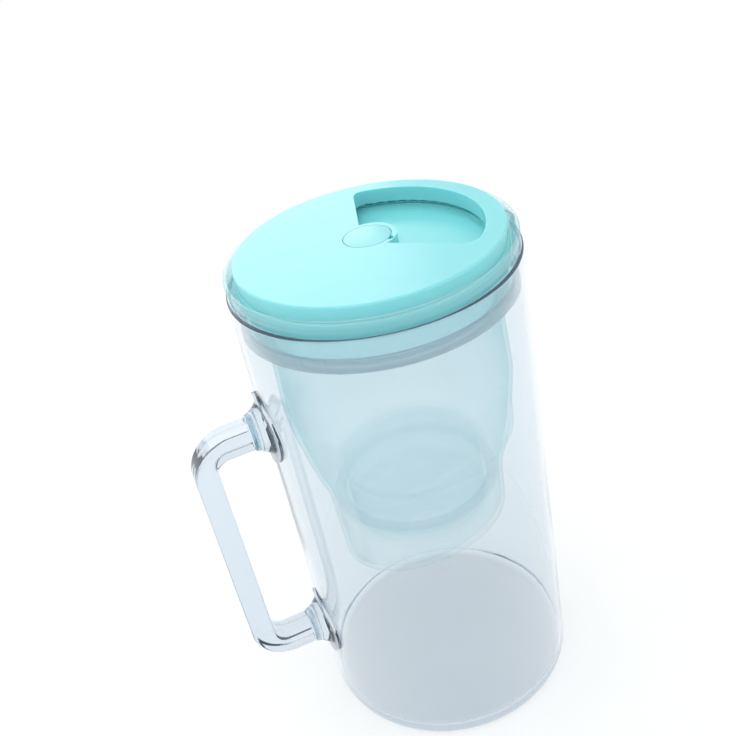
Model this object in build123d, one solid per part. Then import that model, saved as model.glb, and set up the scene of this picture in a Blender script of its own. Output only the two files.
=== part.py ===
"""Glass water filter pitcher with a drop-in reservoir, a filter cartridge and a two-disc rotary lid.

Millimetres, +Z up. The origin is the centre of the jug's flat underside, the pouring beak
points along +X and the handle along -X. Everything stands assembled, with the lid closed.
"""
import os
from math import acos, atan2, cos, degrees, hypot, radians, sin, tan

from build123d import *

# ---- Glass jug -------------------------------------------------------------------------------
JUG_R = 60.0            # outer radius
JUG_WALL = 2.0
JUG_HEIGHT = 223.5      # table to rim
JUG_FLOOR = 4.0         # thickness of the bottom
JUG_FOOT_ROUND = 4.0    # outer round under the wall
JUG_WELL_ROUND = 4.5    # inner round at the floor
RIM_ROUND = 0.9         # fire-polished lip
BEAK_REACH = 3.8        # how far the beak stands out at the rim
BEAK_TIP_R = 9.0
BEAK_BLEND_R = 14.0
BEAK_DROP = 20.0        # height over which the beak grows out of the wall

# ---- Glass handle ----------------------------------------------------------------------------
HANDLE_WIDTH = 13.2     # across the bar
HANDLE_THICK = 10.3
HANDLE_REACH = 95.0     # jug axis to the outside of the grip
HANDLE_TOP = 171.6      # upper face of the upper arm
HANDLE_BOTTOM = 43.0    # lower face of the lower arm
HANDLE_CORNER = 19.0    # outer corner radius
HANDLE_INNER_CORNER = 6.0
HANDLE_EDGE = 1.8       # rounded long edges
FOOT_R = 16.0           # round glass pad that lies on the wall
FOOT_PAD = 1.2          # its thickness over the wall
FOOT_FLARE = 6.0        # length of the flare from the pad to the arm
FOOT_COLLAR_R = 8.0     # end of the flare, round the arm

# ---- Reservoir insert ------------------------------------------------------------------------
INSERT_WALL = 1.8
BOWL_RISE = 7.4         # rim of the bowl over the rim of the jug
BOWL_INSET = 0.7        # jug's outer radius less the bowl's, at its rim
BOWL_BAND = 2.0         # upright stretch under the rim
BOWL_WAIST_INSET = 2.8  # the same where the flare turns, beside the jug's rim
BOWL_WAIST_DROP = 1.5   # this level and those below are counted down from the jug's rim
NECK_GAP = 3.1          # jug bore to neck, filled by the seal, as the gaps below
NECK_TOP_DROP = 9.7
NECK_BOTTOM_DROP = 16.5
NECK_ROUND = 0.8
NECK_STEP = 3.5         # width of the flat step under the neck
THROAT_GAP = 9.0        # just under the neck
THROAT_DROP = 20.0
BELLY_GAP = 7.7
BELLY_DROP = 55.5
BELLY_BULGE = 0.6       # how much the wall stands out below the belly
TAPER_GAP = 13.8        # between the reservoir and the filter housing
TAPER_DROP = 92.0
TAPER_HOLLOW = 0.7
HOUSING_GAP = 17.5      # filter housing, where it starts
HOUSING_DROP = 109.5
HOUSING_DRAFT = 2.2     # degrees
BOTTOM_DROP = 141.0     # jug rim to the slanted bottom, on the axis
BOTTOM_SLOPE = 17.0     # degrees
BOTTOM_ROUND = 6.0
SLANT_AZIMUTH = -62.0   # direction in which the bottom rises
LIP_GAP = 10.0          # raised crescent on the taper, with a lip below
LIP_DROP = 83.1
CRESCENT_HEIGHT = 11.6  # lip to its highest point
CRESCENT_SLOPE = 23.0   # degrees
OUTLET_R = 9.0          # hole in the slanted bottom
KEY_WIDTH = 3.2         # upright rib on the housing
KEY_RISE = 0.8
KEY_AZIMUTH = -100.0
KEY_TOP_DROP = 115.0
KEY_BOTTOM_DROP = 135.0

# ---- Seal band -------------------------------------------------------------------------------
SEAL_HEIGHT = 5.7
SEAL_GRIP = 0.1         # clearance on the neck
SEAL_EDGE = 1.5         # thickness at its upper and lower edge
SEAL_CROWN = 1.1        # how much its middle stands out
SEAL_RISE = 0.9         # over the foot of the neck

# ---- Lid base --------------------------------------------------------------------------------
LID_SEAT_DROP = 3.0     # jug rim to the ledge the lid sits on
LID_SEAT_WIDTH = 1.9
LID_INSET = 2.5         # bowl to lid ring, at the rim of the bowl
LID_SIDE_GAP = 0.5      # ring to the bowl, at the ledge
RING_HEIGHT = 7.3
RING_EDGE = 1.4
RING_WALL = 1.9
RIB_COUNT = 60
RIB_WIDTH = 1.9
RIB_BORDER = 1.6        # raised border outside the ribs
RIB_LENGTH = 4.4
RIB_HEIGHT = 1.3
LEDGE_DROP = 1.9        # ring top to the inner ledge
LEDGE_WIDTH = 1.4       # ledge between the ribs and the filling hole
PLATE_DROP = 2.4        # ring top to the plate
PLATE_THICK = 2.3
HUB_R = 9.8
HUB_RISE = 1.9          # over the ring's top
FLANGE_R = 12.6
HOLE_START_AZIMUTH = 136.1  # edge of the web, degrees from +X
HOLE_START_SHIFT = 5.5  # how far that edge passes beside the axis
HOLE_END_AZIMUTH = 253.0  # edge shared with the sunken shelf
HOLE_END_SHIFT = 0.6
HOLE_ROUND = 4.5
SHELF_DEPTH = 14.4      # plate top to the shelf's sloping floor, carried on to the axis
SHELF_SLOPE = 12.0      # degrees, rising outwards
SHELF_SLOPE_AZIMUTH = -84.0
SHELF_WALL = 1.8
SHELF_START_AZIMUTH = -61.2  # the shelf's curved back wall, from the flange outwards
SHELF_MID_R = 22.5
SHELF_MID_AZIMUTH = -47.9
SHELF_END_AZIMUTH = -61.7

# ---- Lid cover and pivot ---------------------------------------------------------------------
COVER_INSET = 0.3       # ring to cover
COVER_GAP = 0.15        # over the ribs
COVER_HEIGHT = 6.3
COVER_EDGE = 0.8
COVER_WALL = 1.7
OPENING_INSET = 0.9     # filling hole to the cover's opening
OPENING_START_AZIMUTH = -44.8  # edges of the opening, as those of the hole
OPENING_START_SHIFT = 5.4
OPENING_END_AZIMUTH = 73.0
OPENING_END_SHIFT = 2.4
OPENING_START_ROUND = 7.0
OPENING_END_ROUND = 4.2
BOSS_R = 12.0
BOSS_GAP = 0.2          # hub top to the cover's boss
CAP_R = 9.6
CAP_THICK = 1.6
CAP_GAP = 0.3           # round the cap's head
CAP_CROWN = 0.4         # how much the cap stands over the cover
PIVOT_R = 7.9
PIVOT_FIT = 0.08        # running clearance on the pivot
PIVOT_WALL = 1.6
PIVOT_SLOT = 1.4
PIVOT_SLOT_DEPTH = 5.5
PIVOT_BELOW_HUB = 1.5
NOTCH_R = 1.7           # finger notch beside the cap
NOTCH_DEPTH = 1.2
NOTCH_AZIMUTH = -50.0

# ---- Filter cartridge ------------------------------------------------------------------------
SEAT_DROP = 111.5       # jug rim to the ledge that carries the cartridge
SEAT_WIDTH = 5.4
SEAT_THICK = 2.0
CARTRIDGE_GAP = 0.5     # body to the ledge's bore
CARTRIDGE_WALL = 1.6
CARTRIDGE_DEPTH = 14.5  # below the ledge
CARTRIDGE_RISE = 16.0   # above the ledge
FLANGE_GAP = 0.9        # flange to the wall of the housing
FLANGE_THICK = 1.8
GASKET_THICK = 1.4
GASKET_INSET = 0.6
CAP_PLATE = 1.6
CAP_SKIRT = 5.0
CAP_SKIRT_WALL = 1.5
CAP_EDGE = 1.2
CAP_SLOT_COUNT = 14
CAP_SLOT_WIDTH = 2.2
CAP_SLOT_LENGTH = 11.0
CAP_SLOT_R = 20.5
GRIP_LENGTH = 24.0
GRIP_HEIGHT = 7.0
GRIP_THICK = 3.0
GRIP_ROUND = 4.0
GRILLE_THICK = 1.6
GRILLE_LIP = 1.4
GRILLE_HOLE_R = 1.6
GRILLE_RING_COUNT = 3
GRILLE_HOLE_COUNT = 6   # in the smallest ring, and added in each further one
GRILLE_RIM = 7.2        # plain border outside the centres of the outermost holes
PAD_THICK = 3.0
FIT = 0.15              # between the cartridge's own pieces

# ---- Levels and radii worked out from the dimensions above -----------------------------------
bore_r = JUG_R - JUG_WALL
neck_r = bore_r - NECK_GAP
bowl_r = JUG_R - BOWL_INSET
lip_r = bore_r - LIP_GAP
housing_r = bore_r - HOUSING_GAP
lid_r = bowl_r - INSERT_WALL - LID_INSET
rib_outer_r = lid_r - RIB_BORDER
rib_inner_r = rib_outer_r - RIB_LENGTH
hole_r = rib_inner_r - LEDGE_WIDTH
cover_r = lid_r - COVER_INSET
opening_r = hole_r - OPENING_INSET
neck_bottom = JUG_HEIGHT - NECK_BOTTOM_DROP
bowl_top = JUG_HEIGHT + BOWL_RISE
ring_bottom = JUG_HEIGHT - LID_SEAT_DROP
ring_top = ring_bottom + RING_HEIGHT
plate_top = ring_top - PLATE_DROP
plate_bottom = plate_top - PLATE_THICK
hub_top = ring_top + HUB_RISE
cover_bottom = ring_top + COVER_GAP
cover_top = cover_bottom + COVER_HEIGHT
cap_seat = cover_top + CAP_CROWN - CAP_THICK
pivot_bore = PIVOT_R + PIVOT_FIT
seat_top = JUG_HEIGHT - SEAT_DROP
housing_bore = housing_r - INSERT_WALL
seat_bore = housing_bore - SEAT_WIDTH
cartridge_r = seat_bore - CARTRIDGE_GAP
cartridge_bottom = seat_top - CARTRIDGE_DEPTH
cartridge_top = seat_top + CARTRIDGE_RISE
cartridge_bore = cartridge_r - CARTRIDGE_WALL
flange_r = housing_bore - FLANGE_GAP
FAR = 4 * (JUG_R + JUG_HEIGHT)  # reach of cutting tools, past the whole part

ON_FLOOR = (Align.CENTER, Align.CENTER, Align.MIN)
BELOW = (Align.CENTER, Align.CENTER, Align.MAX)


def polar(radius, azimuth):
    return (radius * cos(radians(azimuth)), radius * sin(radians(azimuth)))


def disc(radius, bottom, top):
    return Pos(0, 0, bottom) * Cylinder(radius, top - bottom, align=ON_FLOOR)


def tube(outer, inner, bottom, top):
    return disc(outer, bottom, top) - disc(inner, bottom, top)


def turned(*edges):
    """Solid of revolution about Z from a closed outline of (radius, height) edges."""
    return revolve(Plane.XZ * make_face(Wire(edges)), Axis.Z)


def path(*points):
    """Straight edges through (radius, height) points."""
    return [Line(a, b) for a, b in zip(points, points[1:])]


def bowed(start, end, bow):
    """Arc between two (radius, height) points whose middle stands out from the chord."""
    middle = ((start[0] + end[0]) / 2 + bow, (start[1] + end[1]) / 2)
    return ThreePointArc(start, middle, end)


def edges_at(solid, z):
    return solid.edges().filter_by_position(Axis.Z, z - 0.01, z + 0.01)


def slab(plan, bottom, top):
    return Pos(0, 0, bottom) * extrude(plan, top - bottom)


def sector(start, start_shift, end, end_shift, radius):
    """Pie-shaped plan between two edges, each of which passes beside the axis by its shift."""
    after = Rot(0, 0, start) * Pos(0, FAR / 2 - start_shift) * Rectangle(2 * FAR, FAR)
    before = Rot(0, 0, end) * Pos(0, end_shift - FAR / 2) * Rectangle(2 * FAR, FAR)
    return Circle(radius) & after & before


def upright_edge(solid, point):
    """The vertical edge nearest to a point of the plan."""
    upright = solid.edges().filter_by(Axis.Z)
    return min(upright, key=lambda e: hypot(e.center().X - point[0], e.center().Y - point[1]))


# ---- Jug -------------------------------------------------------------------------------------
def beak_plan(offset, reach):
    """Plan of the wall with the beak's three arcs, or with the circle's own where it fades out."""
    wall_r = JUG_R - offset
    tip_r = BEAK_TIP_R - offset
    blend_r = BEAK_BLEND_R + offset
    nose_x = wall_r + BEAK_REACH
    tip_x = nose_x - tip_r
    blend_x = wall_r + blend_r
    side = acos((blend_x**2 + tip_x**2 - (tip_r + blend_r) ** 2) / (2 * blend_x * tip_x))
    blend = (blend_x * cos(side), blend_x * sin(side))
    lean = atan2(blend[1], blend[0] - tip_x)
    joint = (tip_x + tip_r * cos(lean), tip_r * sin(lean))
    back = degrees(atan2(joint[1] - blend[1], joint[0] - blend[0])) % 360
    between = radians((back + degrees(side) + 180) / 2)
    waist = (blend[0] + blend_r * cos(between), blend[1] + blend_r * sin(between))
    nose = (nose_x, 0)
    if reach == 0:
        joint = polar(wall_r, degrees(atan2(joint[1], joint[0])))
        waist = polar(wall_r, degrees(atan2(waist[1], waist[0])))
        nose = (wall_r, 0)
    shoulder = polar(wall_r, degrees(side))
    arcs = [
        ThreePointArc(shoulder, (-wall_r, 0), (shoulder[0], -shoulder[1])),
        ThreePointArc((shoulder[0], -shoulder[1]), (waist[0], -waist[1]), (joint[0], -joint[1])),
        ThreePointArc((joint[0], -joint[1]), nose, joint),
        ThreePointArc(joint, waist, shoulder),
    ]
    return make_face(Wire(arcs))


def beaked_block(offset, bottom):
    """Solid within one skin of the wall, from a level up to the rim."""
    fade = JUG_HEIGHT - BEAK_DROP
    column = disc(JUG_R - offset, bottom, fade)
    plain = Pos(0, 0, fade) * beak_plan(offset, 0)
    beaked = Pos(0, 0, JUG_HEIGHT) * beak_plan(offset, BEAK_REACH)
    return column + loft([plain, beaked], ruled=True)


def make_jug():
    outside = beaked_block(0, 0)
    outside = fillet(edges_at(outside, 0), JUG_FOOT_ROUND)
    inside = beaked_block(JUG_WALL, JUG_FLOOR)
    inside = fillet(edges_at(inside, JUG_FLOOR), JUG_WELL_ROUND)
    jug = outside - inside
    return fillet(edges_at(jug, JUG_HEIGHT), RIM_ROUND)


def handle_block(height, inset, width, corner):
    """Upright block from the jug's axis out to -X, with its two far corners rounded."""
    middle = (HANDLE_TOP + HANDLE_BOTTOM) / 2
    reach = HANDLE_REACH - inset
    plan = Plane.XZ * Pos(-reach / 2, middle) * Rectangle(reach, height)
    block = extrude(plan, width / 2, both=True)
    far_corners = block.edges().filter_by(Axis.Y).sort_by(Axis.X)[:2]
    return fillet(far_corners, corner)


def handle_foot(z):
    """Round pad that follows the wall, with a concave flare that runs out to a collar."""
    face = JUG_R + FOOT_PAD
    root = JUG_R - FOOT_PAD
    end = face + FOOT_FLARE
    wide = FOOT_R - FOOT_PAD
    middle = ((root + face) / 2 + FOOT_PAD, (FOOT_COLLAR_R + wide) / 2)
    outline = [
        *path((end, FOOT_COLLAR_R), (end, 0), (root, 0), (root, wide)),
        ThreePointArc((root, wide), middle, (end, FOOT_COLLAR_R)),
    ]
    flare = Rot(0, 0, 180) * revolve(make_face(Wire(outline)), Axis.X)
    pad = Rot(0, -90, 0) * Cylinder(FOOT_R, FAR, align=ON_FLOOR)
    return Pos(0, 0, z) * flare + (Pos(0, 0, z) * pad & disc(face, 0, JUG_HEIGHT))


def make_handle():
    """Flat glass bar bent to a square C on two round pads."""
    height = HANDLE_TOP - HANDLE_BOTTOM
    outer = handle_block(height, 0, HANDLE_WIDTH, HANDLE_CORNER)
    window = handle_block(height - 2 * HANDLE_THICK, HANDLE_THICK, FAR, HANDLE_INNER_CORNER)
    bar = outer - window
    sides = bar.edges().group_by(Axis.Y)
    bar = fillet([e for e in sides[0] + sides[-1] if e.center().X < -1], HANDLE_EDGE)
    bar += handle_foot(HANDLE_TOP - HANDLE_THICK / 2)
    bar += handle_foot(HANDLE_BOTTOM + HANDLE_THICK / 2)
    return bar - disc(JUG_R, 0, JUG_HEIGHT)


# ---- Reservoir insert ------------------------------------------------------------------------
def drop(radius, below_rim, inset=0.0):
    """(radius, height) point from its distance below the jug's rim."""
    return (radius - inset, JUG_HEIGHT - below_rim)


def body_outline(inset):
    """Edges of the insert from the top of its neck down to the axis, drawn in by an inset."""
    foot = NECK_BOTTOM_DROP - inset
    neck_foot = drop(neck_r, foot - NECK_ROUND, inset)
    neck_under = drop(neck_r - NECK_ROUND, foot, inset)
    step = drop(neck_r - NECK_STEP, foot, inset)
    throat = drop(bore_r - THROAT_GAP, THROAT_DROP - inset, inset)
    belly = drop(bore_r - BELLY_GAP, BELLY_DROP, inset)
    taper = drop(bore_r - TAPER_GAP, TAPER_DROP, inset)
    housing = drop(housing_r, HOUSING_DROP, inset)
    low_drop = BOTTOM_DROP + JUG_R * tan(radians(BOTTOM_SLOPE))
    low_r = housing_r - (low_drop - HOUSING_DROP) * tan(radians(HOUSING_DRAFT))
    low = drop(low_r, low_drop, inset)
    return [
        *path(drop(neck_r, NECK_TOP_DROP, inset), neck_foot, neck_under, step, throat, belly),
        bowed(belly, taper, BELLY_BULGE),
        bowed(taper, housing, -TAPER_HOLLOW),
        Line(housing, low),
        Line(low, (0, low[1])),
    ]


def slanted(block, inset):
    """Cuts the slanted bottom of the filter housing and gives the block with its edge."""
    level = JUG_HEIGHT - BOTTOM_DROP + inset
    tilt = Pos(0, 0, level) * Rot(0, 0, SLANT_AZIMUTH) * Rot(0, -BOTTOM_SLOPE, 0)
    block -= tilt * Box(FAR, FAR, FAR, align=BELOW)
    flats = block.faces().filter_by(GeomType.PLANE)
    return min(flats, key=lambda f: f.center().Z).edges()


def insert_outside():
    band = (bowl_r, bowl_top - BOWL_BAND)
    waist = drop(JUG_R - BOWL_WAIST_INSET, BOWL_WAIST_DROP)
    body = body_outline(0)
    bowl = [
        Line((0, bowl_top), (bowl_r, bowl_top)),
        Line((bowl_r, bowl_top), band),
        bowed(band, waist, 0.45),
        bowed(waist, drop(neck_r, NECK_TOP_DROP), -0.35),
    ]
    axis = Line(body[-1] @ 1, (0, bowl_top))
    return fillet(slanted(turned(*bowl, *body, axis), 0), BOTTOM_ROUND)


def insert_inside():
    """The hollow, with the flat ledge for the lid in its bowl."""
    seat_r = lid_r + LID_SIDE_GAP
    mouth_r = bowl_r - INSERT_WALL
    body = body_outline(INSERT_WALL)
    bowl = path(
        (0, bowl_top),
        (mouth_r, bowl_top),
        (mouth_r, bowl_top - BOWL_BAND - INSERT_WALL),
        (seat_r, ring_bottom),
        (seat_r - LID_SEAT_WIDTH, ring_bottom),
        drop(neck_r, NECK_TOP_DROP, INSERT_WALL),
    )
    axis = Line(body[-1] @ 1, (0, bowl_top))
    return chamfer(slanted(turned(*bowl, *body, axis), INSERT_WALL), BOTTOM_ROUND / 2)


def crescent():
    """Raised crescent on one side of the taper, flat underneath, cut off at a slant above."""
    lip = JUG_HEIGHT - LIP_DROP
    middle = lip + CRESCENT_HEIGHT - lip_r * tan(radians(CRESCENT_SLOPE))
    tilt = Pos(0, 0, middle) * Rot(0, 0, SLANT_AZIMUTH) * Rot(0, -CRESCENT_SLOPE, 0)
    return disc(lip_r, lip, lip + CRESCENT_HEIGHT) - tilt * Box(FAR, FAR, FAR, align=ON_FLOOR)


def key_rib():
    """Upright rib on the outside of the filter housing."""
    top = JUG_HEIGHT - KEY_TOP_DROP
    bottom = JUG_HEIGHT - KEY_BOTTOM_DROP
    rib = Box(2 * KEY_RISE, KEY_WIDTH, top - bottom, align=ON_FLOOR)
    lean = (KEY_BOTTOM_DROP + KEY_TOP_DROP - 2 * HOUSING_DROP) / 2 * tan(radians(HOUSING_DRAFT))
    return Rot(0, 0, KEY_AZIMUTH) * Pos(housing_r - lean, 0, bottom) * rib


def make_insert():
    outside = insert_outside() + crescent() + key_rib()
    insert = outside - insert_inside()
    insert += tube(housing_bore + INSERT_WALL / 2, seat_bore, seat_top - SEAT_THICK, seat_top)
    insert -= disc(OUTLET_R, 0, seat_top - SEAT_THICK)
    return fillet(edges_at(insert, bowl_top), INSERT_WALL * 0.45)


def make_seal():
    bottom = neck_bottom + SEAL_RISE
    top = bottom + SEAL_HEIGHT
    inner = neck_r + SEAL_GRIP
    outer = inner + SEAL_EDGE
    return turned(
        *path((outer, top), (inner, top), (inner, bottom), (outer, bottom)),
        bowed((outer, bottom), (outer, top), SEAL_CROWN),
    )


# ---- Lid base --------------------------------------------------------------------------------
def lid_ring():
    """Ring with a raised outer border, a sunken floor for the ribs and a ledge inside."""
    rib_floor = ring_top - RIB_HEIGHT
    ledge = ring_top - LEDGE_DROP
    wall_r = lid_r - RING_WALL
    shoulder = (lid_r, ring_top - RING_EDGE)
    border = (lid_r - RING_EDGE, ring_top)
    return turned(
        *path((wall_r, ring_bottom), (lid_r, ring_bottom), shoulder),
        RadiusArc(shoulder, border, -RING_EDGE),
        *path(
            border,
            (rib_outer_r, ring_top),
            (rib_outer_r, rib_floor),
            (rib_inner_r, rib_floor),
            (rib_inner_r, ledge),
            (hole_r, ledge),
            (hole_r, plate_bottom),
            (wall_r, plate_bottom),
            (wall_r, ring_bottom),
        ),
    )


def ribs():
    """Radial ribs over the sunken floor, from the ledge to the raised border."""
    floor = ring_top - 2 * RIB_HEIGHT
    bar = Pos(lid_r / 2, 0, floor) * Box(lid_r, RIB_WIDTH, ring_top - floor, align=ON_FLOOR)
    rib = bar & tube(rib_outer_r, rib_inner_r, floor, ring_top)
    return [Rot(0, 0, i * 360 / RIB_COUNT) * rib for i in range(RIB_COUNT)]


def shelf_plan():
    """Plan of the sunken shelf up to its back wall, open towards the filling hole."""
    start = polar(FLANGE_R, SHELF_START_AZIMUTH)
    end = polar(rib_inner_r, SHELF_END_AZIMUTH)
    past = polar(FAR, SHELF_END_AZIMUTH)
    round_back = polar(FAR, HOLE_END_AZIMUTH)
    outline = [
        ThreePointArc(start, polar(SHELF_MID_R, SHELF_MID_AZIMUTH), end),
        Line(end, past),
        Line(past, round_back),
        Line(round_back, (0, 0)),
        Line((0, 0), start),
    ]
    return make_face(Wire(outline))


def over_slope(block, level):
    """What lies over a plane that rises outwards, from its level on the axis."""
    tilt = Pos(0, 0, level) * Rot(0, 0, SHELF_SLOPE_AZIMUTH) * Rot(0, -SHELF_SLOPE, 0)
    return block - tilt * Box(FAR, FAR, FAR, align=BELOW)


def shelf_tray():
    """Sloping floor, back wall and rim of the sunken shelf."""
    floor = plate_top - SHELF_DEPTH
    open_side = sector(HOLE_END_AZIMUTH, HOLE_END_SHIFT, 0, 0, hole_r + SHELF_WALL)
    outside = (offset(shelf_plan(), SHELF_WALL) & open_side) - Circle(FLANGE_R - SHELF_WALL)
    return over_slope(slab(outside, floor - SHELF_WALL, plate_top), floor - SHELF_WALL)


def shelf_space():
    floor = plate_top - SHELF_DEPTH
    plan = (shelf_plan() & Circle(hole_r)) - Circle(FLANGE_R)
    return over_slope(slab(plan, floor, ring_top), floor)


def filling_hole():
    web = (HOLE_START_AZIMUTH, HOLE_START_SHIFT)
    shelf = (HOLE_END_AZIMUTH, HOLE_END_SHIFT)
    plan = sector(*web, *shelf, hole_r) - Circle(FLANGE_R)
    hole = slab(plan, plate_bottom, plate_top)
    return fillet(upright_edge(hole, polar(hole_r, HOLE_START_AZIMUTH)), HOLE_ROUND)


def make_lid_base():
    plate = disc((hole_r + rib_inner_r) / 2, plate_bottom, plate_top) - filling_hole()
    base = lid_ring() + plate + shelf_tray() - shelf_space()
    base += ribs()
    base += disc(HUB_R, plate_bottom, hub_top)
    return base - disc(pivot_bore, 0, FAR)


# ---- Lid cover and pivot ---------------------------------------------------------------------
def opening(grow):
    """Solid through the cover along its opening, with rounded outer corners."""
    start = (OPENING_START_AZIMUTH, OPENING_START_SHIFT)
    end = (OPENING_END_AZIMUTH, OPENING_END_SHIFT)
    block = slab(sector(*start, *end, opening_r) - Circle(BOSS_R), 0, COVER_HEIGHT)
    block = fillet(upright_edge(block, polar(opening_r, OPENING_START_AZIMUTH)), OPENING_START_ROUND)
    block = fillet(upright_edge(block, polar(opening_r, OPENING_END_AZIMUTH)), OPENING_END_ROUND)
    outline = block.faces().sort_by(Axis.Z)[0]
    if grow:
        outline = offset(outline, grow)
    return Pos(0, 0, cover_bottom) * extrude(outline, COVER_HEIGHT, dir=(0, 0, 1))


def make_lid_cover():
    shell = disc(cover_r, cover_bottom, cover_top)
    shell = fillet(edges_at(shell, cover_top), COVER_EDGE)
    shell -= disc(cover_r - COVER_WALL, cover_bottom, cover_top - COVER_WALL)
    cover = shell + opening(COVER_WALL) + disc(BOSS_R, hub_top + BOSS_GAP, cover_top)
    cover -= opening(0)
    cover -= disc(HUB_R + BOSS_GAP, 0, hub_top + BOSS_GAP)
    cover -= disc(pivot_bore, 0, FAR)
    cover -= disc(CAP_R + CAP_GAP, cap_seat, FAR)
    notch = Pos(*polar(CAP_R + CAP_GAP, NOTCH_AZIMUTH), cover_top - NOTCH_DEPTH)
    return cover - notch * Cylinder(NOTCH_R, CAP_THICK, align=ON_FLOOR)


def make_pivot_cap():
    """Slightly domed head on a slotted tube that passes through the cover and the hub."""
    crown_r = (CAP_R**2 + CAP_CROWN**2) / (2 * CAP_CROWN)
    crown = Pos(0, 0, cap_seat + CAP_THICK - crown_r) * Sphere(crown_r)
    head = disc(CAP_R, cap_seat, cap_seat + CAP_THICK) & crown
    foot = plate_bottom - PIVOT_BELOW_HUB
    stem = tube(PIVOT_R, PIVOT_R - PIVOT_WALL, foot, cap_seat)
    slot = Pos(0, 0, foot) * Box(FAR, PIVOT_SLOT, PIVOT_SLOT_DEPTH, align=ON_FLOOR)
    return head + (stem - slot - Rot(0, 0, 90) * slot)


# ---- Filter cartridge ------------------------------------------------------------------------
def make_cartridge_shell():
    """Open tube with the flange that hangs on the ledge and a lip under the grille."""
    flange_bottom = seat_top + GASKET_THICK
    body = tube(cartridge_r, cartridge_bore, cartridge_bottom, cartridge_top)
    flange = tube(flange_r, cartridge_bore, flange_bottom, flange_bottom + FLANGE_THICK)
    lip_top = cartridge_bottom + GRILLE_LIP
    lip = tube(cartridge_r, cartridge_bore - GRILLE_LIP, cartridge_bottom, lip_top)
    return body + flange + lip


def make_gasket():
    return tube(flange_r - GASKET_INSET, cartridge_r + FIT, seat_top, seat_top + GASKET_THICK)


def make_grille():
    bottom = cartridge_bottom + GRILLE_LIP
    top = bottom + GRILLE_THICK
    grille = disc(cartridge_bore - FIT, bottom, top)
    hole = disc(GRILLE_HOLE_R, bottom, top)
    step = (cartridge_bore - GRILLE_RIM) / GRILLE_RING_COUNT
    for ring in range(1, GRILLE_RING_COUNT + 1):
        count = ring * GRILLE_HOLE_COUNT
        spots = [polar(ring * step, i * 360 / count) for i in range(count)]
        grille -= [Pos(x, y, 0) * hole for x, y in spots]
    return grille


def make_cartridge_cap():
    """Slotted cap over the top of the tube, with a fin to lift the cartridge by."""
    outer = cartridge_r + FIT + CAP_SKIRT_WALL
    top = cartridge_top + CAP_PLATE
    cap = disc(outer, cartridge_top - CAP_SKIRT, top)
    cap = fillet(edges_at(cap, top), CAP_EDGE)
    cap -= disc(cartridge_r + FIT, 0, cartridge_top)
    slot = slab(Pos(CAP_SLOT_R, 0) * SlotOverall(CAP_SLOT_LENGTH, CAP_SLOT_WIDTH), cartridge_top, top)
    cap -= [Rot(0, 0, i * 360 / CAP_SLOT_COUNT) * slot for i in range(CAP_SLOT_COUNT)]
    grip = Pos(0, 0, top) * Box(GRIP_LENGTH, GRIP_THICK, GRIP_HEIGHT, align=ON_FLOOR)
    ends = grip.edges().filter_by(Axis.Y).sort_by(Axis.Z)[2:]
    return cap + fillet(ends, GRIP_ROUND)


def make_fillings():
    """Lower pad, filter media and upper pad, stacked between the grille and the cap."""
    core_r = cartridge_bore - FIT
    low = cartridge_bottom + GRILLE_LIP + GRILLE_THICK
    return {
        "lower_pad": disc(core_r, low, low + PAD_THICK),
        "filter_media": disc(core_r, low + PAD_THICK, cartridge_top - PAD_THICK),
        "upper_pad": disc(core_r, cartridge_top - PAD_THICK, cartridge_top),
    }


def build_parts():
    return {
        "glass_jug": make_jug(),
        "glass_handle": make_handle(),
        "reservoir_insert": make_insert(),
        "seal_band": make_seal(),
        "cartridge_shell": make_cartridge_shell(),
        "cartridge_gasket": make_gasket(),
        "cartridge_grille": make_grille(),
        "cartridge_cap": make_cartridge_cap(),
        **make_fillings(),
        "lid_base": make_lid_base(),
        "pivot_cap": make_pivot_cap(),
        "lid_cover": make_lid_cover(),
    }


os.makedirs("parts", exist_ok=True)
for name, solid in build_parts().items():
    export_step(solid, f"parts/{name}.step")
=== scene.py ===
"""Glass water filter pitcher: finishes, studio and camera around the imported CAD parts."""

import bpy
from mathutils import Matrix, Vector

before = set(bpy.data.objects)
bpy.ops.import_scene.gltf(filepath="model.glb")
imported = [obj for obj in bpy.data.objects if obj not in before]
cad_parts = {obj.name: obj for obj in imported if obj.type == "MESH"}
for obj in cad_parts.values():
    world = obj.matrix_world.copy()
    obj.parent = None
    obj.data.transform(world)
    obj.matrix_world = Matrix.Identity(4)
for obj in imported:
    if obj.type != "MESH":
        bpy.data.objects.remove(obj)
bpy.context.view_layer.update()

# ---- Camera: the photograph's viewing angle --------------------------------------------------
CAMERA_AT = Vector((-0.09715, -0.31776, 0.38531))
CAMERA_RIGHT = Vector((0.9119, -0.3672, -0.1832)).normalized()
CAMERA_FORWARD = Vector((0.2202, 0.8146, -0.5366)).normalized()
CAMERA_REACH = (0.005, 60.0)
LENS_MM = 44.98
SENSOR_MM = 36.0


def make_camera():
    data = bpy.data.cameras.new("camera")
    data.lens = LENS_MM
    data.sensor_width = SENSOR_MM
    data.clip_start, data.clip_end = CAMERA_REACH
    camera = bpy.data.objects.new("camera", data)
    up = CAMERA_RIGHT.cross(CAMERA_FORWARD)
    axes = Matrix((CAMERA_RIGHT, up, -CAMERA_FORWARD)).transposed().to_4x4()
    camera.matrix_world = Matrix.Translation(CAMERA_AT) @ axes
    bpy.context.scene.collection.objects.link(camera)
    bpy.context.scene.camera = camera


# ---- Node helpers ----------------------------------------------------------------------------
def linear(colour):
    """Scene-linear RGBA from an sRGB colour given as 0 to 255."""
    def channel(value):
        value /= 255
        return value / 12.92 if value <= 0.04045 else ((value + 0.055) / 1.055) ** 2.4
    return (*(channel(value) for value in colour), 1.0)


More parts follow.
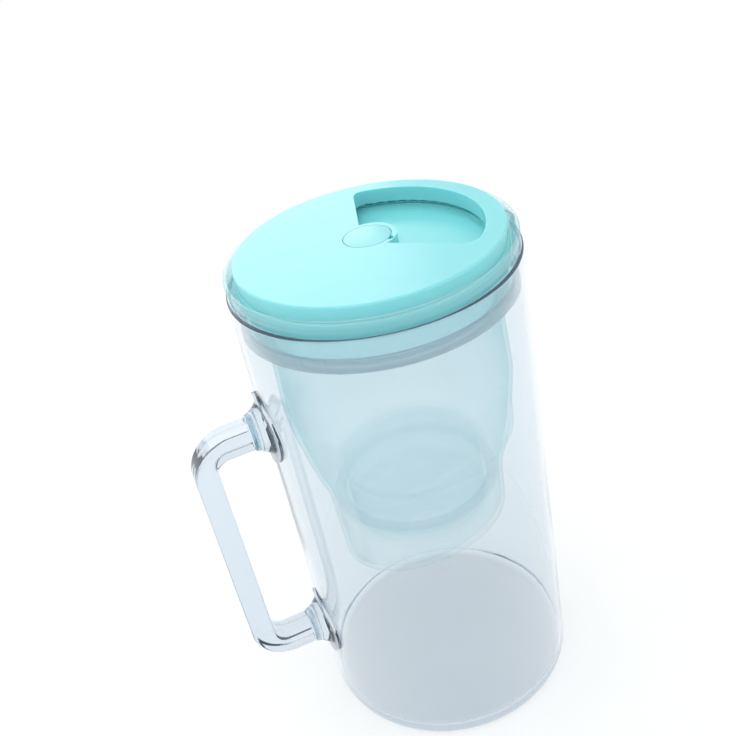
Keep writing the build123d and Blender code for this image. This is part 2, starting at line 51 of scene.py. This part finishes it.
class Tree:
    """A material's or world's node tree, with short calls to add and join nodes."""

    def __init__(self, owner):
        owner.use_nodes = True
        self.tree = owner.node_tree
        self.tree.nodes.clear()

    def feed(self, socket, value):
        """Link an output to the socket, or set the socket to a plain value."""
        if isinstance(value, bpy.types.NodeSocket):
            self.tree.links.new(value, socket)
        else:
            socket.default_value = value

    def add(self, kind, **inputs):
        node = self.tree.nodes.new(kind)
        for name, value in inputs.items():
            self.feed(node.inputs[name.replace("_", " ")], value)
        return node

    def place(self):
        """Coordinates in metres that stay with the piece."""
        return self.add("ShaderNodeTexCoord").outputs["Object"]

    def height(self):
        return self.add("ShaderNodeSeparateXYZ", Vector=self.place()).outputs["Z"]

    def stretched(self, scale):
        mapping = self.add("ShaderNodeMapping", Vector=self.place(), Scale=scale)
        return mapping.outputs["Vector"]

    def noise(self, scale, detail, at=None):
        vector = self.place() if at is None else at
        node = self.add("ShaderNodeTexNoise", Vector=vector, Scale=scale, Detail=detail)
        return node.outputs["Fac"]

    def ramp(self, factor, low, high, start=0.0, end=1.0):
        """Numbers from low to high as the factor goes from start to end."""
        node = self.add(
            "ShaderNodeMapRange", Value=factor,
            From_Min=start, From_Max=end, To_Min=low, To_Max=high,
        )
        return node.outputs["Result"]

    def colours(self, factor, low, high, start=0.0, end=1.0):
        """Colours from low to high as the factor goes from start to end."""
        node = self.add("ShaderNodeValToRGB", Fac=factor)
        first, last = node.color_ramp.elements
        first.position, first.color = start, linear(low)
        last.position, last.color = end, linear(high)
        return node.outputs["Color"]

    def bump(self, height, strength, distance, normal=None):
        node = self.add("ShaderNodeBump", Height=height, Strength=strength, Distance=distance)
        if normal is not None:
            self.feed(node.inputs["Normal"], normal)
        return node.outputs["Normal"]

    def math(self, operation, a, b):
        node = self.tree.nodes.new("ShaderNodeMath")
        node.operation = operation
        for socket, value in zip(node.inputs, (a, b)):
            self.feed(socket, value)
        return node.outputs["Value"]

    def blend(self, factor, first, second):
        """A number that goes from first to second with the factor."""
        node = self.tree.nodes.new("ShaderNodeMix")
        number_sockets = (node.inputs[0], node.inputs[2], node.inputs[3])
        for socket, value in zip(number_sockets, (factor, first, second)):
            self.feed(socket, value)
        return node.outputs["Result"]

    def mix(self, factor, first, second):
        node = self.add("ShaderNodeMixShader")
        for socket, value in zip(node.inputs, (factor, first, second)):
            self.feed(socket, value)
        return node.outputs["Shader"]

    def rays(self, *names):
        """1 for the named kinds of ray and 0 for others."""
        path = self.add("ShaderNodeLightPath")
        total = path.outputs[names[0]]
        for name in names[1:]:
            total = self.math("MAXIMUM", total, path.outputs[name])
        return total

    def clear(self, colour):
        """A shader that shows what is behind it, unbent and tinted."""
        return self.add("ShaderNodeBsdfTransparent", Color=colour).outputs["BSDF"]

    def milky(self, colour, roughness, ior, normal):
        """Half of the light comes back and half goes through, both scattered."""
        milk = self.add(
            "ShaderNodeBsdfPrincipled",
            Base_Color=colour, Roughness=roughness, IOR=ior, Normal=normal,
        )
        glow = self.add("ShaderNodeBsdfTranslucent", Color=colour)
        return self.mix(0.5, milk.outputs["BSDF"], glow.outputs["BSDF"])

    def surface(self, shader, kind="ShaderNodeOutputMaterial"):
        output = self.tree.nodes.new(kind)
        self.feed(output.inputs["Surface"], shader)


def new_material(name):
    material = bpy.data.materials.new(name)
    return material, Tree(material)


# ---- Finishes: colours are sRGB from 0 to 255, heights and depths are in metres ---------------
FLOW_BAND = (0.35, 0.65)            # where the flow pattern goes from its deep to its pale colour
FLOW_ROUGHNESS_BAND = (0.3, 0.7)    # and where the roughness or the cloud follows it

GLASS_IOR = 1.5
RIPPLE_STRETCH = (30, 30, 8)
RIPPLE_DEPTH = 0.004
SMUDGE_SCALE = 42
SMUDGE_BAND = (0.52, 0.75)
SMUDGE_ROUGHNESS = 0.03
FOOT_SHADE_HEIGHTS = (0.001, 0.003)       # the foot's tint, painted shade for the shadow under the jug, gives way to the wall's between these
LAMP_TINT = (240, 244, 246)         # a lamp's light at each glass surface


def glass_finish(name, tint, foot_shade_tint, ripple, throws, painted_shade_tint, painted_shade_heights):
    """Hand-worked clear glass: a faint cool tint, slow ripples in the wall and light smudges. The
    foot takes its own tint, which on the jug is darker: painted shade for the shadow under it.

    Lamps shine on through the surface. A ray that the glass has thrown back more than the given
    number of throws leaves it through a tint that is darker the higher up it is: painted shade
    for dark rims and edges.
    """
    material, tree = new_material(name)
    slow = tree.noise(1.0, 2.0, tree.stretched(RIPPLE_STRETCH))
    smudge = tree.ramp(tree.noise(SMUDGE_SCALE, 4.0), 0.0, SMUDGE_ROUGHNESS, *SMUDGE_BAND)
    # painted shade: low down the foot takes its darker tint, for the shadow under the jug
    above_foot_shade = tree.ramp(tree.height(), 0.0, 1.0, *FOOT_SHADE_HEIGHTS)
    above_painted_shade = tree.ramp(tree.height(), 0.0, 1.0, *painted_shade_heights)
    glass = tree.add(
        "ShaderNodeBsdfPrincipled", Base_Color=tree.colours(above_foot_shade, foot_shade_tint, tint),
        Roughness=smudge, IOR=GLASS_IOR, Transmission_Weight=1.0,
        Normal=tree.bump(slow, ripple, RIPPLE_DEPTH),
    )
    # painted shade: trapped rays leave through a dark tint, which draws dark rims and edges
    thrown = tree.add("ShaderNodeLightPath").outputs["Glossy Depth"]
    trapped = tree.math("GREATER_THAN", thrown, throws)
    painted_shade_exit = tree.clear(tree.colours(above_painted_shade, tint, painted_shade_tint))
    inner = tree.mix(trapped, glass.outputs["BSDF"], painted_shade_exit)
    tree.surface(tree.mix(tree.rays("Is Shadow Ray"), inner, tree.clear(linear(LAMP_TINT))))
    return material


FILM_STRETCH = (22, 22, 6)
FILM_GRAIN_SCALE = 900
FILM_GRAIN_BUMP = (0.04, 0.0002)        # strength and depth, as those below
FILM_FLOW_BUMP = (0.06, 0.002)
FILM_IOR = 1.45
FILM_MILK_ROUGHNESS = 0.35
EDGE_POWER = 3.0        # how quickly a film takes on its look on edge as it turns away
LEAST_GLEAM = 0.03
THICK_SHADED_SHARE = 0.6       # how far the thicker band of a film goes towards its look on edge; on the insert's bowl that deeper tint is partly painted shade from the lid above
LIT_LOW_SHARE = 0.3        # how much of its tint and cloud the clearer lower part keeps: painted light against the shade inside the jug


def film_finish(
    name, pale, deep, haze, face_tint, edge_tint, rough, gleam=0.35, thick_shaded_band=None, lit_clear_low=None,
):
    """Thin clear moulding: its wall tints and clouds what is behind it, more so on edge.

    Of the two height bands, the first gives where a thicker part begins and ends, its deeper tint
    and cloud partly painted shade from the lid above; the second gives where a clearer lower part
    ends, painted light against the shade inside the jug.
    """
    material, tree = new_material(name)
    flow = tree.noise(1.0, 3.0, tree.stretched(FILM_STRETCH))
    grain = tree.noise(FILM_GRAIN_SCALE, 2.0)
    normal = tree.bump(grain, *FILM_GRAIN_BUMP, tree.bump(flow, *FILM_FLOW_BUMP))
    facing = tree.add("ShaderNodeLayerWeight", Blend=0.5, Normal=normal).outputs["Facing"]
    edge = tree.math("POWER", facing, EDGE_POWER)
    depth = edge
    # painted shade in part: over the bowl band the tint and cloud go deeper, for the lid's shadow
    # as well as a thicker wall
    if thick_shaded_band:
        begins, ends = (tree.ramp(tree.height(), 0.0, THICK_SHADED_SHARE, *band) for band in thick_shaded_band)
        depth = tree.math("ADD", depth, tree.math("SUBTRACT", begins, ends))
    share = 1.0
    # painted light: lower down the film keeps less tint and cloud, so it reads lighter where the
    # jug's inside is in shade
    if lit_clear_low:
        share = tree.ramp(tree.height(), LIT_LOW_SHARE, 1.0, *lit_clear_low)
        depth = tree.math("MULTIPLY", depth, share)
    streaks = tree.ramp(flow, haze * 0.9, haze * 1.1, *FLOW_ROUGHNESS_BAND)
    cloud = tree.math("ADD", streaks, tree.ramp(depth, 0.0, haze))
    cloud = tree.math("MULTIPLY", cloud, share)
    colour = tree.colours(flow, deep, pale, *FLOW_BAND)
    milky = tree.milky(colour, FILM_MILK_ROUGHNESS, FILM_IOR, normal)
    body = tree.mix(cloud, tree.clear(tree.colours(depth, face_tint, edge_tint)), milky)
    shine = tree.add("ShaderNodeBsdfGlossy", Roughness=rough, Normal=normal)
    tree.surface(tree.mix(tree.ramp(edge, LEAST_GLEAM, gleam), body, shine.outputs["BSDF"]))
    return material


LID_IOR = 1.5
LID_FLOW_SCALE = 14
LID_WAVE_SCALE = 26
LID_GRAIN_SCALE = 1400
LID_GRAIN_BUMP = (0.035, 0.0002)
LID_WAVE_BUMP = (0.05, 0.001)
LID_DEEP_LIGHT = 0.35                   # share of the light that goes into the plastic
LID_LIGHT_REACH = (0.002, 0.005, 0.005)


def gloss_finish(name, pale, deep, rough):
    """Solid-coloured moulded plastic with a soft gloss and a faint flow pattern."""
    material, tree = new_material(name)
    flow = tree.noise(LID_FLOW_SCALE, 3.0)
    grain = tree.noise(LID_GRAIN_SCALE, 2.0)
    wavy = tree.noise(LID_WAVE_SCALE, 1.0)
    shader = tree.add(
        "ShaderNodeBsdfPrincipled", Base_Color=tree.colours(flow, deep, pale, *FLOW_BAND),
        Roughness=tree.ramp(flow, rough * 0.85, rough * 1.2, *FLOW_ROUGHNESS_BAND),
        IOR=LID_IOR, Subsurface_Weight=LID_DEEP_LIGHT, Subsurface_Radius=LID_LIGHT_REACH,
        Subsurface_Scale=1.0,
        Normal=tree.bump(grain, *LID_GRAIN_BUMP, tree.bump(wavy, *LID_WAVE_BUMP)),
    )
    tree.surface(shader.outputs["BSDF"])
    return material


BEAD_SCALE = 900
BEAD_BUMP = (0.8, 0.0006)
BEAD_ROUGHNESS = 0.4
BEAD_IOR = 1.5
BEAD_MILK = (0.04, 0.1)         # how milky the clear and the white beads are
BEAD_CLEAR_TINT = (248, 253, 254)


def bead_finish(name, clear_bead, white_bead):
    """Clear and white resin beads packed side by side."""
    material, tree = new_material(name)
    cells = tree.add("ShaderNodeTexVoronoi", Vector=tree.place(), Scale=BEAD_SCALE)
    kind = tree.add("ShaderNodeSeparateColor", Color=cells.outputs["Color"]).outputs["Red"]
    colour = tree.colours(kind, clear_bead, white_bead, 0.4, 0.6)
    normal = tree.bump(cells.outputs["Distance"], *BEAD_BUMP)
    milky = tree.milky(colour, BEAD_ROUGHNESS, BEAD_IOR, normal)
    cloud = tree.ramp(kind, *BEAD_MILK, 0.3, 0.7)
    tree.surface(tree.mix(cloud, tree.clear(linear(BEAD_CLEAR_TINT)), milky))
    return material


def dress():
    jug_glass = glass_finish(
        # painted shade: the jug's darker foot tint stands for the shadow under it
        "jug_glass", tint=(236, 242, 246), foot_shade_tint=(224, 227, 232), ripple=0.05,
        # painted shade: after 7 throws rays leave darker above the foot, for dark rims
        throws=7, painted_shade_tint=(158, 172, 184), painted_shade_heights=(0.02, 0.1),
    )
    handle_glass = glass_finish(
        "handle_glass", tint=(219, 229, 238), foot_shade_tint=(219, 229, 238), ripple=0.04,
        # painted shade: after 2 throws rays leave the handle dark, for its dark edges
        throws=2, painted_shade_tint=(86, 94, 104), painted_shade_heights=(-0.02, -0.01),
    )
    # the insert's deeper bowl band is partly painted shade from the lid above
    insert_plastic = film_finish(
        "insert_plastic", pale=(232, 252, 255), deep=(226, 250, 253), haze=0.13,
        face_tint=(254, 255, 255), edge_tint=(220, 249, 250), rough=0.12,
        # painted light: the insert's clearer lower part offsets the shade inside the jug
        thick_shaded_band=((0.207, 0.214), (0.224, 0.229)), lit_clear_low=(0.11, 0.17),
    )
    seal_rubber = film_finish(
        "seal_rubber", pale=(224, 231, 235), deep=(214, 222, 227), haze=0.28,
        face_tint=(242, 245, 247), edge_tint=(214, 222, 226), rough=0.3,
    )
    base_plastic = gloss_finish("lid_base_plastic", (132, 219, 221), (125, 213, 216), 0.22)
    cover_plastic = gloss_finish("lid_cover_plastic", (137, 218, 222), (130, 213, 218), 0.2)
    cartridge_plastic = film_finish(
        "cartridge_plastic", pale=(244, 252, 252), deep=(234, 246, 248), haze=0.015,
        face_tint=(255, 255, 255), edge_tint=(250, 254, 254), rough=0.2, gleam=0.12,
    )
    gasket_rubber = film_finish(
        "gasket_rubber", pale=(226, 236, 239), deep=(214, 226, 230), haze=0.08,
        face_tint=(250, 252, 253), edge_tint=(238, 244, 247), rough=0.5, gleam=0.12,
    )
    pad_fibre = film_finish(
        "pad_fibre", pale=(248, 250, 250), deep=(236, 242, 243), haze=0.06,
        face_tint=(254, 255, 255), edge_tint=(248, 251, 252), rough=0.6, gleam=0.08,
    )
    filter_beads = bead_finish("filter_beads", (206, 226, 230), (246, 250, 250))
    finishes = {
        "glass_jug": jug_glass,
        "glass_handle": handle_glass,
        "reservoir_insert": insert_plastic,
        "seal_band": seal_rubber,
        "lid_base": base_plastic,
        "lid_cover": cover_plastic,
        "pivot_cap": cover_plastic,
        "cartridge_shell": cartridge_plastic,
        "cartridge_cap": cartridge_plastic,
        "cartridge_grille": cartridge_plastic,
        "cartridge_gasket": gasket_rubber,
        "lower_pad": pad_fibre,
        "upper_pad": pad_fibre,
        "filter_media": filter_beads,
    }
    for node, material in finishes.items():
        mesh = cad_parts[node].data
        mesh.materials.clear()
        mesh.materials.append(material)


# ---- Studio ----------------------------------------------------------------------------------
SEEN = ("Is Camera Ray", "Is Glossy Ray", "Is Transmission Ray")
FILL = (1.1, 0.9)               # the world, as a light from the left and from the right
FILL_COLOUR = (0.95, 0.98, 1.0, 1.0)
OVERHEAD = 0.3                  # what glass shows of the studio overhead
OVERHEAD_BAND = (0.35, 0.6)     # how steeply up the studio goes from white to that
WHITE = (1.0, 1.0, 1.0, 1.0)

FLOOR_REACH = 12.0
FLOOR_LEVEL = -0.0003
FLOOR_SPECK_SCALE = 30
FLOOR_GLOW = 0.55               # share of the floor's paint that is plain white when seen
FLOOR_GLOW_BAND = (0.3, 1.6)    # how far out that share goes up to 1

LAMP_TARGET = Vector((0.0, 0.0, 0.12))
LAMPS = (                       # name, place, width and height in metres, watts
    ("lamp_top", (-0.25, -0.1, 1.5), (1.2, 1.2), 3.0),
    ("lamp_back_left", (-0.15, 1.4, 0.85), (1.35, 0.9), 5.5),
    ("lamp_front_right", (1.2, -0.9, 0.7), (0.7, 0.9), 1.0),
)


def make_world():
    """White to the camera and in gloss. Through glass the studio is darker overhead."""
    world = bpy.data.worlds.new("studio")
    bpy.context.scene.world = world
    tree = Tree(world)
    heading = tree.add("ShaderNodeTexCoord").outputs["Generated"]
    parts = tree.add("ShaderNodeSeparateXYZ", Vector=heading)
    path = tree.add("ShaderNodeLightPath")
    seen = tree.ramp(parts.outputs["Z"], 1.0, OVERHEAD, *OVERHEAD_BAND)
    for ray in ("Is Glossy Ray", "Is Camera Ray"):
        seen = tree.blend(path.outputs[ray], seen, 1.0)
    direct = tree.math("LESS_THAN", path.outputs["Diffuse Depth"], 0.5)
    direct = tree.math("MULTIPLY", direct, tree.rays(*SEEN))
    sideways = tree.ramp(parts.outputs["X"], *FILL, -1.0, 1.0)
    fill = tree.add("ShaderNodeBackground", Color=FILL_COLOUR, Strength=sideways)
    white = tree.add("ShaderNodeBackground", Color=WHITE, Strength=seen)
    sky = tree.mix(direct, fill.outputs["Background"], white.outputs["Background"])
    tree.surface(sky, "ShaderNodeOutputWorld")


def make_floor():
    """Pale paint that holds the object's shadow, and goes over to plain white further out."""
    mesh = bpy.data.meshes.new("floor")
    signs = ((-1, -1), (1, -1), (1, 1), (-1, 1))
    corners = [(x * FLOOR_REACH, y * FLOOR_REACH, FLOOR_LEVEL) for x, y in signs]
    mesh.from_pydata(corners, [], [(0, 1, 2, 3)])
    floor = bpy.data.objects.new("floor", mesh)
    bpy.context.scene.collection.objects.link(floor)
    material, tree = new_material("floor_paint")
    speck = tree.noise(FLOOR_SPECK_SCALE, 3.0)
    colour = tree.colours(speck, (249, 250, 250), (252, 253, 253), *FLOW_BAND)
    paint = tree.add("ShaderNodeBsdfDiffuse", Color=colour)
    glow = tree.add("ShaderNodeEmission", Color=WHITE, Strength=1.0)
    away = tree.add("ShaderNodeVectorMath", Vector=tree.place())
    away.operation = "LENGTH"
    share = tree.ramp(away.outputs["Value"], FLOOR_GLOW, 1.0, *FLOOR_GLOW_BAND)
    share = tree.math("MULTIPLY", share, tree.rays(*SEEN))
    tree.surface(tree.mix(share, paint.outputs["BSDF"], glow.outputs["Emission"]))
    mesh.materials.append(material)


def make_lamps():
    """Softboxes that light the object and show in gloss, but not to the camera or in glass."""
    for name, at, size, watts in LAMPS:
        data = bpy.data.lights.new(name, "AREA")
        data.shape = "RECTANGLE"
        data.size, data.size_y = size
        data.energy = watts
        lamp = bpy.data.objects.new(name, data)
        lamp.location = at
        lamp.rotation_mode = "QUATERNION"
        lamp.rotation_quaternion = (LAMP_TARGET - Vector(at)).to_track_quat("-Z", "Y")
        lamp.visible_camera = False
        lamp.visible_transmission = False
        bpy.context.scene.collection.objects.link(lamp)


def set_paths():
    """Bounces for glass behind glass: with fewer, rims go black and the insert goes dark."""
    paths = bpy.context.scene.cycles
    paths.max_bounces = 24
    paths.transmission_bounces = 24
    paths.glossy_bounces = 24
    paths.diffuse_bounces = 12
    paths.transparent_max_bounces = 32


dress()
make_world()
make_floor()
make_lamps()
make_camera()
set_paths()
bpy.context.scene.view_settings.view_transform = "Standard"
